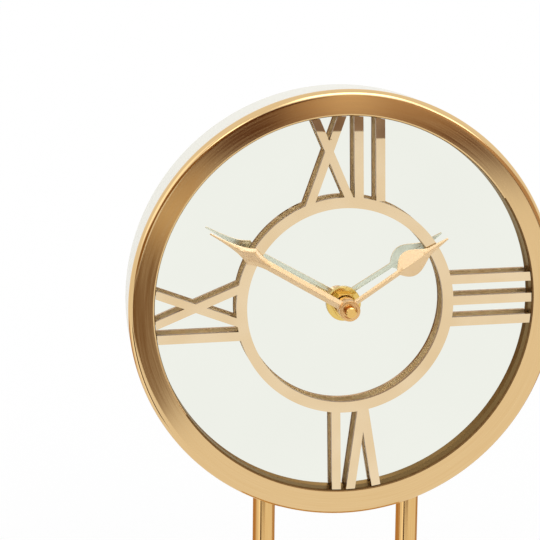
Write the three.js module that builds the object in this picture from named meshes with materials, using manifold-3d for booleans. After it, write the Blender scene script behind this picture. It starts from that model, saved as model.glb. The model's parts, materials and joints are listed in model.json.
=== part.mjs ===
// Table clock: a mirror dial with raised numerals in a round case, on two posts and a base plate.
// Millimetres, +Z up, the dial faces -Y, the origin is on the table under the middle of the base.
import * as THREE from 'three';
import { mergeVertices } from 'three/addons/utils/BufferGeometryUtils.js';
import Module from 'manifold-3d';

const wasm = await Module();
wasm.setup();

// Clearances
const seat = 0.1; // between two faces that rest on each other
const slip = 0.3; // around a piece that drops into another one
const running = 0.1; // around a turning shaft, on the radius

// Smoothness of round pieces
const rimSegments = 56;
const shaftSegments = 16;
const curveSegments = 5;
const roundingSegments = 3;
const lipSegments = 3;
const pinSegments = 8;
const weldDistance = 1e-4;

// Stand
const baseWidth = 150;
const baseDepth = 90;
const baseThickness = 10;
const baseCorner = 4;
const baseChamfer = 1;
const padDiameter = 14;
const padThickness = 2;
const padBevel = 0.4;
const padInset = 13; // from the base's edges to the middle of a pad
const postDiameter = 10.4;
const postSpacing = 69;
const studDiameter = 5;
const studProud = 2.2; // above its nut
const plugLength = 12; // solid metal at the top of a post
const postNutAcross = 8;
const postNutThickness = 4;
const saddleWidth = 14;
const saddleDepth = 8.6;
const saddleEdge = 2.5; // thickness of a saddle at its thin side
const screwHeadDiameter = 8.5;
const screwHeadThickness = 4.5;
const screwReach = 12; // of a base screw above the base

// Case
const dialHeight = 220; // of the dial's centre above the table
const bezelDiameter = 200;
const bezelWidth = 12.05;
const bezelWall = 1.2;
const bezelProud = 0.55; // of the bezel's face in front of the numerals' face
const bezelFall = 0.25; // across the face, from its inner edge to the rounded outer edge
const bezelLipWidth = 1; // rounded inner edge of the face
const bezelLipDepth = 1.5;
const roundingWidth = 3.4;
const roundingDepth = 2.1;
const skirtDepth = 0.8;
const drumWall = 1.5;
const drumDepth = 27.9;
const drumEdge = 0.8; // bevel of the rear edge
const lipWidth = 8.2;
const lipThickness = 1.5;
const lipInset = 2.5; // from the drum's rear edge to the lip
const mirrorFront = 5.8; // behind the numerals' face
const mirrorThickness = 2;
const boardThickness = 3;
const panelThickness = 2;
const panelWindowSlip = 2;
const clipWidth = 12;
const clipReach = 8;
const clipThickness = 0.8;
const clipAngles = [90, 195, 345];
const panelScrewAngles = [45, 135, 225, 315];
const panelScrewDiameter = 2.9;
const panelScrewHead = 5.6;
const panelScrewTop = 2.8; // flat on the head
const panelScrewHeadThickness = 1.8;
const panelScrewLength = 4.2;

// Numerals
const numeralThickness = 2.2;
const numeralTurn = -1.37; // degrees clockwise, the plate sits a little askew
const ringInner = 45.7;
const ringWidth = 5;
const strokeWidth = 4.2;
const crossWidth = 3.7; // strokes of an X
const strokePitch = 10;
const vOuterWidth = 16.5;
const vInnerWidth = 5.5;
const crossAngle = 21.5; // degrees from the radius to each stroke of an X
const twelveCross = -7; // places along the ring, clockwise of the hour
const twelveCrossRise = 2.7; // outwards from the middle of the band
const twelveCrossLean = -1; // degrees
const twelveBar = 6.6;
const sixVee = -8;
const sixBar = 4.85;
const nineBar = -11.9;
const nineCross = 2.1;
const nineCrossRise = 0.1;

// Hands and what they sit on
const washerDiameter = 16;
const washerThickness = 1.5;
const nutAcross = 10.8;
const nutThickness = 4;
const bushDiameter = 8;
const bushProud = 0.7;
const pipeDiameter = 5.1;
const pipeProud = 0.4;
const arborDiameter = 3;
const hubDiameter = 9.6;
const hourHubLength = 3.2;
const hourHubGap = 0.8;
const minuteHubLength = 4.8;
const minuteHubGap = 1.2;
const hubRecessDiameter = 6.8;
const hubRecessDepth = 1.6;
const capDiameter = 5.1;
const capProud = 3.5;
const capWall = 1.4;
const capBevel = 0.5;
const sheetThickness = 0.5; // of the folded blades
const foldSlope = 0.3; // how far a blade falls back from its ridge, per width
const hourAngle = 56.8; // degrees clockwise from twelve
const hourLength = 56.4;
const hourStem = 2.6;
const hourNeck = 28.6;
const hourNeckFlare = 0.85;
const hourLeafWidth = 12.4;
const hourLeafMiddle = 35.6;
const hourLeafRound = 3.8;
const hourWaist = 46;
const hourWaistWidth = 3.5;
const hourWaistFlare = 1.35;
const hourTaper = 0.45;
const hourRidge = 0.4; // of the blade's ridge in front of the hub
const hourRise = 1; // of the tip over the numerals
const minuteAngle = 299.3;
const minuteLength = 72.5;
const minuteStem = 4.1;
const minuteNeck = 41;
const minuteNeckSweep = 5.4;
const minuteLeafWidth = 8.6;
const minuteLeafMiddle = 50.9;
const minuteLeafSweep = 3.7;
const minuteTaper = 7.7;
const minuteRidge = 2.7; // of the blade's ridge in front of the hub's rear face
const minuteRise = 2.4;
const tipWidth = 0.8;

// Movement
const gasketDiameter = 22;
const gasketThickness = 0.9;
const movementSize = 56;
const movementDepth = 14.6;
const movementWall = 1.4;
const movementCorner = 3;
const coverThickness = 1.4;
const wheelThickness = 1.1;
const layerPitch = 2.05;
const firstLayer = 0.6;
const pinionExtra = 0.15;
const pivotDiameter = 1;
const pivotReach = 0.5;
const pivotHoleDepth = 0.7;
const toothTop = 0.85; // in modules, above the pitch circle
const toothFoot = 1.15; // in modules, below it
const toothTopHalf = 0.08; // half a tooth's width at the top, in pitches
const toothFootHalf = 0.22;
const motionModule = 0.56;
const cannonTeeth = 10;
const minuteWheelTeeth = 30;
const minutePinionTeeth = 8;
const hourWheelTeeth = 32;
const settingArborDiameter = 1.6;
const knobDiameter = 12;
const knobThickness = 3;
const knobRibs = 12;
const knobSocket = 1.5; // depth of the hole for the arbor
const trainModule = 0.4;
const trainPinionTeeth = 6;
const centreTeeth = 48;
const thirdTeeth = 45;
const secondsTeeth = 30;
const secondsModule = 0.62;
const fifthTeeth = 36;
const thirdDirection = 150; // degrees from +X, seen from the front
const fifthDirection = 75;
const rotorDirection = 17;
const collarDiameter = 4.8;
const collarThickness = 0.4;
const rotorDiameter = 5;
const rotorLength = 4.2;
const statorGap = 0.6;
const statorThickness = 1;
const statorSpread = 10.8; // from the rotor's axis to the outer side of each arm
const statorDrop = 3.8; // below the rotor's axis
const statorArm = 3.6;
const coilRise = 8.3; // from the rotor's axis to the coil's axis
const coilDiameter = 6;
const coilLength = 12.6;
const coreThickness = 1;
const batteryDiameter = 14.2;
const batteryLength = 49.2;
const nubDiameter = 5.4;
const nubLength = 1;
const batteryDrop = 18.4;
const contactThickness = 0.5;
const contactHeight = 9;
const circuitLength = 18;
const circuitHeight = 8.2;
const circuitThickness = 1;
const circuitMiddle = new THREE.Vector2(-16, 21.3);
const circuitStandoff = 6.5;
const circuitFootSpacing = 12;
const standoffDiameter = 3;

// Finishes: colour, roughness, metalness
const gold = [0xd9b47c, 0.28, 1];
const handGold = [0xe6c08a, 0.35, 1];
const brass = [0xc9a23f, 0.3, 1];
const whiteLacquer = [0xf0eee2, 0.35, 0];
const silvered = [0xe8ebe4, 0.04, 1];
const fibreboard = [0x8a6a48, 0.85, 0];
const blackBoard = [0x1d1d1e, 0.7, 0];
const steel = [0xb9bcbd, 0.35, 1];
const blackPlastic = [0x18181a, 0.5, 0];
const whitePlastic = [0xe9e6da, 0.5, 0];
const rubber = [0x242424, 0.9, 0];
const copper = [0xb5653a, 0.4, 1];
const circuitGreen = [0x1f5b3a, 0.6, 0];
const cellSleeve = [0x9a9da1, 0.4, 0.4];

// Places along the dial's axis, from the numerals' face, +Y goes back into the case
const mirrorBack = mirrorFront + mirrorThickness;
const boardFront = mirrorBack + seat;
const boardBack = boardFront + boardThickness;
const gasketFront = boardBack + seat;
const gasketBack = gasketFront + gasketThickness;
const movementFront = gasketBack + seat;
const movementFloor = movementFront + movementWall;
const movementBack = movementFront + movementDepth;
const coverFront = movementBack + seat;
const coverBack = coverFront + coverThickness;
const washerFront = mirrorFront - seat - washerThickness;
const nutFront = washerFront - seat - nutThickness;
const bushFront = nutFront - bushProud;
const hourHubBack = bushFront - hourHubGap;
const hourHubFront = hourHubBack - hourHubLength;
const pipeFront = hourHubFront - pipeProud;
const minuteHubBack = pipeFront - minuteHubGap;
const minuteHubFront = minuteHubBack - minuteHubLength;
const capFront = minuteHubFront - capProud;
const capBack = minuteHubFront + hubRecessDepth - seat;
const arborFront = capFront + capWall;

// Radii that neighbours share
const bezelRadius = bezelDiameter / 2;
const bezelInner = bezelRadius - bezelWidth;
const bezelFace = -bezelProud;
const bezelShoulder = bezelFace + bezelFall;
const skirtBack = bezelShoulder + roundingDepth + skirtDepth;
const drumRadius = bezelRadius - bezelWall - seat;
const drumInner = drumRadius - drumWall;
const drumFront = bezelShoulder + bezelWall + slip;
const drumBack = drumFront + drumDepth;
const lipBack = drumBack - lipInset;
const lipFront = lipBack - lipThickness;
const panelFront = lipBack + seat;
const panelBack = panelFront + panelThickness;
const glassRadius = drumInner - slip;
const ringOuter = ringInner + ringWidth;
const bezelLipRadius = bezelInner + bezelLipWidth;
const bezelLipBack = bezelFace + bezelLipDepth;
const lipShare = Math.sqrt(1 - (bezelLipBack / (bezelLipDepth + slip)) ** 2);
const numeralReach = bezelLipRadius - (bezelLipWidth + slip) * lipShare;
const bushHole = bushDiameter / 2 + slip;
const bushBore = pipeDiameter / 2 + running;
const pipeBore = arborDiameter / 2 + running;
const baseTop = padThickness + baseThickness;
const threadBore = studDiameter / 2 + running;
const saddleReach = (postSpacing + saddleWidth) / 2;
const saddleFoot = Math.sqrt((drumInner - slip) ** 2 - saddleReach ** 2); // below the dial's centre
const saddleDrop = saddleFoot - saddleEdge;
const postDepth = boardBack + slip + saddleDepth / 2; // from the numerals' face back to the posts' axes
const drumAxis = new THREE.Vector3(0, -postDepth, dialHeight);

// Solids and meshes
function toSolid(geometry) {
  const bare = geometry.index ? geometry.toNonIndexed() : geometry.clone();
  bare.deleteAttribute('normal');
  bare.deleteAttribute('uv');
  const welded = mergeVertices(bare, weldDistance);
  const vertProperties = new Float32Array(welded.attributes.position.array);
  const triVerts = new Uint32Array(welded.index.array);
  return new wasm.Manifold(new wasm.Mesh({ numProp: 3, vertProperties, triVerts }));
}

function toGeometry(solid) {
  const { vertProperties, triVerts } = solid.getMesh();
  const geometry = new THREE.BufferGeometry();
  geometry.setAttribute('position', new THREE.BufferAttribute(new Float32Array(vertProperties), 3));
  geometry.setIndex(new THREE.BufferAttribute(new Uint32Array(triVerts), 1));
  geometry.computeVertexNormals();
  return geometry;
}

function join(...geometries) {
  return toGeometry(geometries.map(toSolid).reduce((whole, piece) => whole.add(piece)));
}

function cut(geometry, ...tools) {
  return toGeometry(tools.map(toSolid).reduce((whole, tool) => whole.subtract(tool), toSolid(geometry)));
}

function common(geometry, other) {
  return toGeometry(toSolid(geometry).intersect(toSolid(other)));
}

function piece(name, geometry, [color, roughness, metalness]) {
  const mesh = new THREE.Mesh(geometry, new THREE.MeshStandardMaterial({ color, roughness, metalness }));
  mesh.name = name;
  return mesh;
}

// Basic forms: turned about the dial's axis, and plates parallel to the dial
function turned(points, segments = shaftSegments) {
  return new THREE.LatheGeometry(points.map(([r, y]) => new THREE.Vector2(r, y)), segments);
}

function rod(radius, front, back, segments = shaftSegments) {
  return turned([[0, front], [radius, front], [radius, back], [0, back]], segments);
}

function ring(inner, outer, front, back, segments = shaftSegments) {
  return turned([[inner, front], [outer, front], [outer, back], [inner, back], [inner, front]], segments);
}

function plate(shape, front, back) {
  const settings = { depth: back - front, bevelEnabled: false, curveSegments };
  return new THREE.ExtrudeGeometry(shape, settings).rotateX(Math.PI / 2).translate(0, back, 0);
}

function polygon(points) {
  return new THREE.Shape(points.map(([x, z]) => new THREE.Vector2(x, z)));
}

function roundedRectangle(width, height, corner) {
  const right = width / 2;
  const top = height / 2;
  const shape = new THREE.Shape();
  shape.absarc(right - corner, top - corner, corner, 0, Math.PI / 2);
  shape.absarc(corner - right, top - corner, corner, Math.PI / 2, Math.PI);
  shape.absarc(corner - right, corner - top, corner, Math.PI, 1.5 * Math.PI);
  shape.absarc(right - corner, corner - top, corner, 1.5 * Math.PI, 2 * Math.PI);
  return shape;
}

function hexagon(across) {
  const corners = Array.from({ length: 6 }, (_, i) => {
    const angle = (i * Math.PI) / 3;
    return [(across / Math.sqrt(3)) * Math.cos(angle), (across / Math.sqrt(3)) * Math.sin(angle)];
  });
  return polygon(corners);
}

function upright(geometry) {
  return geometry.rotateX(Math.PI / 2);
}

function polar(radius, degrees) {
  const angle = THREE.MathUtils.degToRad(degrees);
  return new THREE.Vector2(radius * Math.cos(angle), radius * Math.sin(angle));
}

function onAxis(geometry, { x, y }) {
  return geometry.translate(x, 0, y);
}

// Case
function panelScrewPlace(degrees) {
  return polar(drumInner - lipWidth / 2, degrees);
}

// Section of the bezel's rounded inner edge, or of a line at this distance from it
function bezelLip(distance) {
  return Array.from({ length: lipSegments + 1 }, (_, i) => {
    const angle = (i / lipSegments) * (Math.PI / 2);
    const across = (bezelLipWidth + distance) * Math.sin(angle);
    const back = (bezelLipDepth + distance) * Math.cos(angle);
    return [bezelLipRadius - across, bezelLipBack - back];
  });
}

function bezelRing() {
  const roundStart = bezelRadius - roundingWidth;
  const roundEnd = bezelShoulder + roundingDepth;
  const rounding = Array.from({ length: roundingSegments + 1 }, (_, i) => {
    const angle = (i / roundingSegments) * (Math.PI / 2);
    return [roundStart + roundingWidth * Math.sin(angle), roundEnd - roundingDepth * Math.cos(angle)];
  });
  const skirtInner = bezelRadius - bezelWall;
  const wallOuter = bezelInner + bezelWall;
  const bezelBack = mirrorFront - slip;
  const profile = [
    ...rounding,
    [bezelRadius, skirtBack],
    [skirtInner, skirtBack],
    [skirtInner, bezelShoulder + bezelWall],
    [wallOuter, bezelFace + bezelWall],
    [wallOuter, bezelBack],
    [bezelInner, bezelBack],
    ...bezelLip(0).reverse(),
    rounding[0],
  ];
  return turned(profile, rimSegments);
}

function caseDrum() {
  const shell = turned([
    [drumRadius, drumFront],
    [drumRadius, drumBack - drumEdge],
    [drumRadius - drumEdge, drumBack],
    [drumInner, drumBack],
    [drumInner, lipBack],
    [drumInner - lipWidth, lipBack],
    [drumInner - lipWidth, lipFront],
    [drumInner, lipFront],
    [drumInner, drumFront],
    [drumRadius, drumFront],
  ], rimSegments);
  const studHoles = [-1, 1].map((side) => {
    const hole = upright(rod(studDiameter / 2 + slip, -drumRadius, -saddleDrop));
    return hole.translate((side * postSpacing) / 2, postDepth, 0);
  });
  const screwHoles = panelScrewAngles.map((degrees) => {
    const hole = rod(panelScrewDiameter / 2 + running, lipFront - slip, lipBack + slip, pinSegments);
    return onAxis(hole, panelScrewPlace(degrees));
  });
  return cut(shell, ...studHoles, ...screwHoles);
}

function dialClip() {
  const outer = drumInner - slip;
  const profile = polygon([
    [outer, boardBack + seat],
    [outer, boardBack + seat + clipReach],
    [outer - clipThickness, boardBack + seat + clipReach],
    [outer - clipThickness, boardBack + seat + clipThickness],
    [outer - clipReach, boardBack + seat + clipThickness],
    [outer - clipReach, boardBack + seat],
  ]);
  const settings = { depth: clipWidth, bevelEnabled: false };
  const sagitta = outer - Math.sqrt(outer ** 2 - (clipWidth / 2) ** 2);
  return new THREE.ExtrudeGeometry(profile, settings).translate(-sagitta, 0, -clipWidth / 2);
}

function backPanel() {
  const window = movementSize + 2 * panelWindowSlip;
  const outline = roundedRectangle(window, window, movementCorner);
  const opening = plate(outline, panelFront - slip, panelBack + slip);
  const holes = panelScrewAngles.map((degrees) => {
    const hole = rod(panelScrewDiameter / 2 + slip, panelFront - slip, panelBack + slip, pinSegments);
    return onAxis(hole, panelScrewPlace(degrees));
  });
  return cut(rod(glassRadius, panelFront, panelBack, rimSegments), opening, ...holes);
}

function panelScrew() {
  const under = panelBack + seat;
  return turned([
    [0, under - panelScrewLength],
    [panelScrewDiameter / 2, under - panelScrewLength],
    [panelScrewDiameter / 2, under],
    [panelScrewHead / 2, under],
    [panelScrewHead / 2, under + panelScrewHeadThickness / 2],
    [panelScrewTop / 2, under + panelScrewHeadThickness],
    [0, under + panelScrewHeadThickness],
  ], pinSegments);
}

// Numerals: strokes are drawn with their tops outwards on the radius of twelve, then turned to their hour
function stroke(width, from, to) {
  const along = new THREE.Vector2().subVectors(to, from).normalize();
  const aside = new THREE.Vector2(-along.y, along.x).multiplyScalar(width / 2);
  const right = [from.clone().sub(aside), to.clone().sub(aside)];
  const left = [to.clone().add(aside), from.clone().add(aside)];
  return plate(new THREE.Shape([...right, ...left]), 0, numeralThickness);
}

function letterI(offset) {
  const foot = new THREE.Vector2(offset, ringOuter - ringWidth / 2);
  return [stroke(strokeWidth, foot, new THREE.Vector2(offset, bezelRadius))];
}

function letterX(offset, rise, lean = 0) {
  const middle = (ringOuter + numeralReach) / 2 + rise;
  return [crossAngle + lean, lean - crossAngle].map((degrees) => {
    const slope = Math.tan(THREE.MathUtils.degToRad(degrees));
    const at = (radius) => new THREE.Vector2(offset + slope * (radius - middle), radius);
    return stroke(crossWidth, at(ringInner), at(bezelRadius));
  });
}

function letterV(offset) {
  const growth = (vOuterWidth - vInnerWidth) / 2 / (numeralReach - ringOuter);
  const foot = ringOuter - ringWidth / 2;
  const edge = (side, radius) => offset + side * (vInnerWidth / 2 + growth * (radius - ringOuter));
  return [-1, 1].map((side) => {
    const corners = [
      [edge(side, foot), foot],
      [edge(side, bezelRadius), bezelRadius],
      [edge(side, bezelRadius) - side * strokeWidth, bezelRadius],
      [edge(side, foot) - side * strokeWidth, foot],
    ];
    return plate(polygon(side > 0 ? corners : corners.reverse()), 0, numeralThickness);
  });
}

function numeralRing() {
  const twelveBars = [twelveBar, twelveBar + strokePitch].flatMap(letterI);
  const hours = [
    [0, [...letterX(twelveCross, twelveCrossRise, twelveCrossLean), ...twelveBars]],
    [90, [-strokePitch, 0, strokePitch].flatMap(letterI)],
    [180, [...letterV(sixVee), ...letterI(sixBar)]],
    [270, [...letterI(nineBar), ...letterX(nineCross, nineCrossRise)]],
  ];
  const strokes = hours.flatMap(([degrees, letters]) => {
    return letters.map((letter) => letter.rotateY(THREE.MathUtils.degToRad(degrees)));
  });
  const ends = bezelLip(slip);
  const [, endsFront] = ends[0];
  const bore = [[bezelInner - slip, mirrorFront], [0, mirrorFront]];
  const reach = turned([[0, endsFront], ...ends, ...bore, [0, endsFront]], rimSegments);
  const hole = rod(ringInner, -slip, numeralThickness + slip, rimSegments);
  const band = rod(ringOuter, 0, numeralThickness, rimSegments);
  return cut(common(join(band, ...strokes), reach), hole);
}

// Hands, drawn pointing at twelve: one side from the axis to the tip, then the same side mirrored
function leafShape(side) {
  const right = side.getPoints(curveSegments);
  const left = right.map(({ x, y }) => new THREE.Vector2(-x, y)).reverse();
  return new THREE.Shape([...right, ...left]);
}

function hourOutline() {
  const stem = hourStem / 2;
  const leaf = hourLeafWidth / 2;
  const waist = hourWaistWidth / 2;
  const round = hourLeafRound;
  const middle = hourLeafMiddle;
  const side = new THREE.Path();
  side.moveTo(stem, 0);
  side.lineTo(stem, hourNeck);
  side.bezierCurveTo(stem + hourNeckFlare, hourNeck + hourNeckFlare, leaf, middle - round, leaf, middle);
  side.bezierCurveTo(leaf, middle + round, waist + hourWaistFlare, hourWaist - round, waist, hourWaist);
  side.quadraticCurveTo(waist - hourTaper, hourWaist + round, tipWidth / 2, hourLength);
  return leafShape(side);
}

function minuteOutline() {
  const stem = minuteStem / 2;
  const leaf = minuteLeafWidth / 2;
  const tip = tipWidth / 2;
  const middle = minuteLeafMiddle;
  const side = new THREE.Path();
  side.moveTo(stem, 0);
  side.lineTo(stem, minuteNeck);
  side.quadraticCurveTo(stem, minuteNeck + minuteNeckSweep, leaf, middle);
  side.bezierCurveTo(leaf / 2, middle + minuteLeafSweep, tip, middle + minuteTaper, tip, minuteLength);
  return leafShape(side);
}

// A sheet folded along its middle, with the ridge towards the front and falling back to the tip
function foldedBlade(outline, leafWidth, length, ridge, rise) {
  const half = leafWidth / 2 + slip;
  const fall = foldSlope * half;
  const section = polygon([
    [0, 0],
    [half, fall],
    [half, fall + sheetThickness],
    [0, sheetThickness],
    [-half, fall + sheetThickness],
    [-half, fall],
  ]);
  const sheet = new THREE.ExtrudeGeometry(section, { depth: length + slip, bevelEnabled: false });
  const blade = common(plate(outline, -slip, fall + sheetThickness + slip), sheet);
  return blade.rotateX(Math.atan2(ridge + rise, length)).translate(0, ridge, 0);
}

function hourHand() {
  const ridge = hourHubFront - hourRidge;
  const blade = foldedBlade(hourOutline(), hourLeafWidth, hourLength, ridge, hourRise);
  const hub = rod(hubDiameter / 2, hourHubFront, hourHubBack);
  return cut(join(blade, hub), rod(pipeDiameter / 2 + running, ridge - slip, hourHubBack + slip));
}

function minuteHand() {
  const ridge = minuteHubBack - minuteRidge;
  const blade = foldedBlade(minuteOutline(), minuteLeafWidth, minuteLength, ridge, minuteRise);
  const hub = rod(hubDiameter / 2, minuteHubFront, minuteHubBack);
  const recess = rod(hubRecessDiameter / 2, minuteHubFront - slip, minuteHubFront + hubRecessDepth);
  const bore = rod(arborDiameter / 2 + running, minuteHubFront, minuteHubBack + slip);
  return cut(join(blade, hub), recess, bore);
}

function capNut() {
  const bore = rod(arborDiameter / 2 + running, arborFront - seat, capBack + slip);
  const body = turned([
    [0, capFront],
    [capDiameter / 2 - capBevel, capFront],
    [capDiameter / 2, capFront + capBevel],
    [capDiameter / 2, capBack],
    [0, capBack],
  ]);
  return cut(body, bore);
}

// Gears, with the phase of one tooth in degrees
function gear(teeth, module, front, thickness, phase = 0) {
  const root = module * (teeth / 2 - toothFoot);
  const tip = module * (teeth / 2 + toothTop);
  const pitch = 360 / teeth;
  const flank = [[root, -toothFootHalf], [tip, -toothTopHalf], [tip, toothTopHalf], [root, toothFootHalf]];
  const points = [];
  for (let tooth = 0; tooth < teeth; tooth += 1) {
    flank.forEach(([radius, share]) => points.push(polar(radius, phase + (tooth + share) * pitch)));
  }
  return plate(new THREE.Shape(points), front, front + thickness);
}

// Phase that puts a gap of the follower where the driver, whose phase is given, has a tooth
function meshPhase(driverTeeth, driverPhase, followerTeeth, direction) {
  const driverShare = ((direction - driverPhase) * driverTeeth) / 360;
  return direction + 180 - (0.5 - driverShare) * (360 / followerTeeth);
}

const centreDistance = (a, b, module) => ((a + b) / 2) * module;
const layer = (index) => movementFloor + firstLayer + index * layerPitch;
const pinion = (teeth, module, index, phase) => {
  return gear(teeth, module, layer(index) - pinionExtra, wheelThickness + 2 * pinionExtra, phase);
};
const settingDistance = centreDistance(cannonTeeth, minuteWheelTeeth, motionModule);
const thirdDistance = centreDistance(centreTeeth, trainPinionTeeth, trainModule);
const thirdModule = (2 * thirdDistance) / (thirdTeeth + trainPinionTeeth);
const fifthDistance = centreDistance(secondsTeeth, trainPinionTeeth, secondsModule);
const rotorDistance = centreDistance(fifthTeeth, trainPinionTeeth, trainModule);
const settingAxis = polar(settingDistance, 0);
const thirdAxis = polar(thirdDistance, thirdDirection);
const fifthAxis = polar(fifthDistance, fifthDirection);
const rotorAxis = polar(rotorDistance, rotorDirection).add(fifthAxis);
const pivot = pivotDiameter / 2;
const pivotFront = movementFloor - pivotReach;
const pivotBack = coverFront + pivotReach;
const collarBack = layer(2) + wheelThickness + seat + collarThickness;

function minuteArbor() {
  const shaft = rod(arborDiameter / 2, arborFront, collarBack);
  const collar = rod(collarDiameter / 2, collarBack - collarThickness, collarBack);
  return join(shaft, collar, pinion(cannonTeeth, motionModule, 1, 0));
}

function minuteWheel() {
  const wheelPhase = meshPhase(cannonTeeth, 0, minuteWheelTeeth, 0);
  const wheel = gear(minuteWheelTeeth, motionModule, layer(1), wheelThickness, wheelPhase);
  const arbor = rod(settingArborDiameter / 2, pivotFront, coverBack + knobSocket, pinSegments);
  return join(wheel, arbor, pinion(minutePinionTeeth, motionModule, 0, 0));
}

function hourWheel() {
  const phase = meshPhase(minutePinionTeeth, 0, hourWheelTeeth, 180);
  const wheel = gear(hourWheelTeeth, motionModule, layer(0), wheelThickness, phase);
  const pipe = rod(pipeDiameter / 2, pipeFront, layer(0));
  return cut(join(wheel, pipe), rod(pipeBore, pipeFront - slip, layer(1)));
}

function settingKnob() {
  const front = coverBack + slip;
  const grip = gear(knobRibs, knobDiameter / (knobRibs + 2 * toothTop), front, knobThickness);
  return cut(grip, rod(settingArborDiameter / 2 + running, coverBack, front + knobSocket));
}

const thirdPhase = meshPhase(centreTeeth, 0, trainPinionTeeth, thirdDirection);
const secondsPhase = meshPhase(thirdTeeth, 0, trainPinionTeeth, thirdDirection + 180);
const fifthPhase = meshPhase(secondsTeeth, 0, trainPinionTeeth, fifthDirection);
const rotorPhase = meshPhase(fifthTeeth, 0, trainPinionTeeth, rotorDirection);

function centreWheel() {
  return cut(
    gear(centreTeeth, trainModule, layer(2), wheelThickness),
    rod(pipeBore, layer(2) - slip, layer(2) + wheelThickness + slip),
  );
}

function thirdWheel() {
  return join(
    gear(thirdTeeth, thirdModule, layer(3), wheelThickness),
    pinion(trainPinionTeeth, trainModule, 2, thirdPhase),
    rod(pivot, pivotFront, pivotBack, pinSegments),
  );
}

function secondsWheel() {
  return join(
    gear(secondsTeeth, secondsModule, layer(4), wheelThickness),
    pinion(trainPinionTeeth, thirdModule, 3, secondsPhase),
    rod(pivot, collarBack + slip, pivotBack, pinSegments),
  );
}

function fifthWheel() {
  return join(
    gear(fifthTeeth, trainModule, layer(5), wheelThickness),
    pinion(trainPinionTeeth, secondsModule, 4, fifthPhase),
    rod(pivot, pivotFront, pivotBack, pinSegments),
  );
}

function rotor() {
  const middle = statorFront + statorThickness / 2;
  return join(
    rod(rotorDiameter / 2, middle - rotorLength / 2, middle + rotorLength / 2),
    pinion(trainPinionTeeth, trainModule, 5, rotorPhase),
    rod(pivot, pivotFront, pivotBack, pinSegments),
  );
}

// Fixed pieces of the movement
const statorFront = layer(2) - layerPitch / 2 + coreThickness / 2;
const coreBack = statorFront - seat;
const coreFront = coreBack - coreThickness;
const coilHeight = rotorAxis.y + coilRise;
const armMiddle = statorSpread - statorArm / 2;

function stator() {
  const coreTop = coilRise + statorArm / 2;
  const window = coilRise - coilDiameter / 2 - slip;
  const inner = statorSpread - statorArm;
  const shape = polygon([
    [-inner / 2, -statorDrop],
    [inner / 2, -statorDrop],
    [statorSpread, window],
    [statorSpread, coreTop],
    [inner, coreTop],
    [inner, window],
    [-inner, window],
    [-inner, coreTop],
    [-statorSpread, coreTop],
    [-statorSpread, window],
  ]);
  const hole = rod(rotorDiameter / 2 + statorGap, statorFront - slip, statorFront + statorThickness + slip);
  return cut(plate(shape, statorFront, statorFront + statorThickness), hole);
}

function coil() {
  const winding = rod(coilDiameter / 2, -coilLength / 2, coilLength / 2, shaftSegments);
  winding.rotateZ(-Math.PI / 2).translate(0, (coreFront + coreBack) / 2, 0);
  const core = plate(roundedRectangle(2 * statorSpread, statorArm, seat), coreFront, coreBack);
  return join(winding, core);
}

function batteryCell() {
  const half = (batteryLength + nubLength) / 2;
  return turned([
    [0, -half],
    [batteryDiameter / 2, -half],
    [batteryDiameter / 2, half - nubLength],
    [nubDiameter / 2, half - nubLength],
    [nubDiameter / 2, half],
    [0, half],
  ]).rotateZ(-Math.PI / 2);
}

const batteryDepth = movementFloor + slip + batteryDiameter / 2;
const circuitFront = movementFloor + circuitStandoff;

function contact(side) {
  const middle = side * ((batteryLength + nubLength) / 2 + slip + contactThickness / 2);
  const width = 2 * (batteryDepth - movementFloor - slip) - movementWall;
  const strip = new THREE.BoxGeometry(contactThickness, width, contactHeight);
  return strip.translate(middle, batteryDepth, -batteryDrop);
}

function movementCase() {
  const inside = movementSize - 2 * movementWall;
  const outline = roundedRectangle(movementSize, movementSize, movementCorner);
  const cavity = roundedRectangle(inside, inside, movementCorner - movementWall);
  const shell = cut(
    plate(outline, movementFront, movementBack),
    plate(cavity, movementFloor, movementBack + slip),
  );
  const bush = rod(bushDiameter / 2, bushFront, movementFront + seat);
  const coreFeet = [-armMiddle, armMiddle].map((x) => {
    const foot = rod(standoffDiameter / 2, movementFloor - seat, coreFront - seat, pinSegments);
    return foot.translate(rotorAxis.x + x, 0, coilHeight);
  });
  const circuitFeet = [-circuitFootSpacing / 2, circuitFootSpacing / 2].map((x) => {
    const foot = rod(standoffDiameter / 2, movementFloor - seat, circuitFront - seat, pinSegments);
    return foot.translate(circuitMiddle.x + x, 0, circuitMiddle.y);
  });
  const blindHole = (radius, axis) => {
    const hole = rod(radius + running, movementFloor - pivotHoleDepth, movementFloor + slip, pinSegments);
    return onAxis(hole, axis);
  };
  const pivotHoles = [thirdAxis, fifthAxis, rotorAxis].map((axis) => blindHole(pivot, axis));
  const settingHole = blindHole(settingArborDiameter / 2, settingAxis);
  const bore = rod(bushBore, bushFront - slip, movementFloor + slip);
  return cut(join(shell, bush, ...coreFeet, ...circuitFeet), bore, ...pivotHoles, settingHole);
}

function movementCover() {
  const bayWidth = batteryLength + nubLength + 2 * (slip + contactThickness + seat);
  const bay = roundedRectangle(bayWidth, batteryDiameter + 2 * slip, seat);
  const opening = plate(bay, coverFront - slip, coverBack + slip).translate(0, 0, -batteryDrop);
  const origin = new THREE.Vector2();
  const pivotHoles = [origin, thirdAxis, fifthAxis, rotorAxis].map((axis) => {
    return onAxis(rod(pivot + running, coverFront - slip, coverFront + pivotHoleDepth, pinSegments), axis);
  });
  const settingRadius = settingArborDiameter / 2 + running;
  const settingHole = rod(settingRadius, coverFront - slip, coverBack + slip, pinSegments);
  const outline = roundedRectangle(movementSize, movementSize, movementCorner);
  const slab = plate(outline, coverFront, coverBack);
  return cut(slab, opening, ...pivotHoles, onAxis(settingHole, settingAxis));
}

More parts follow.
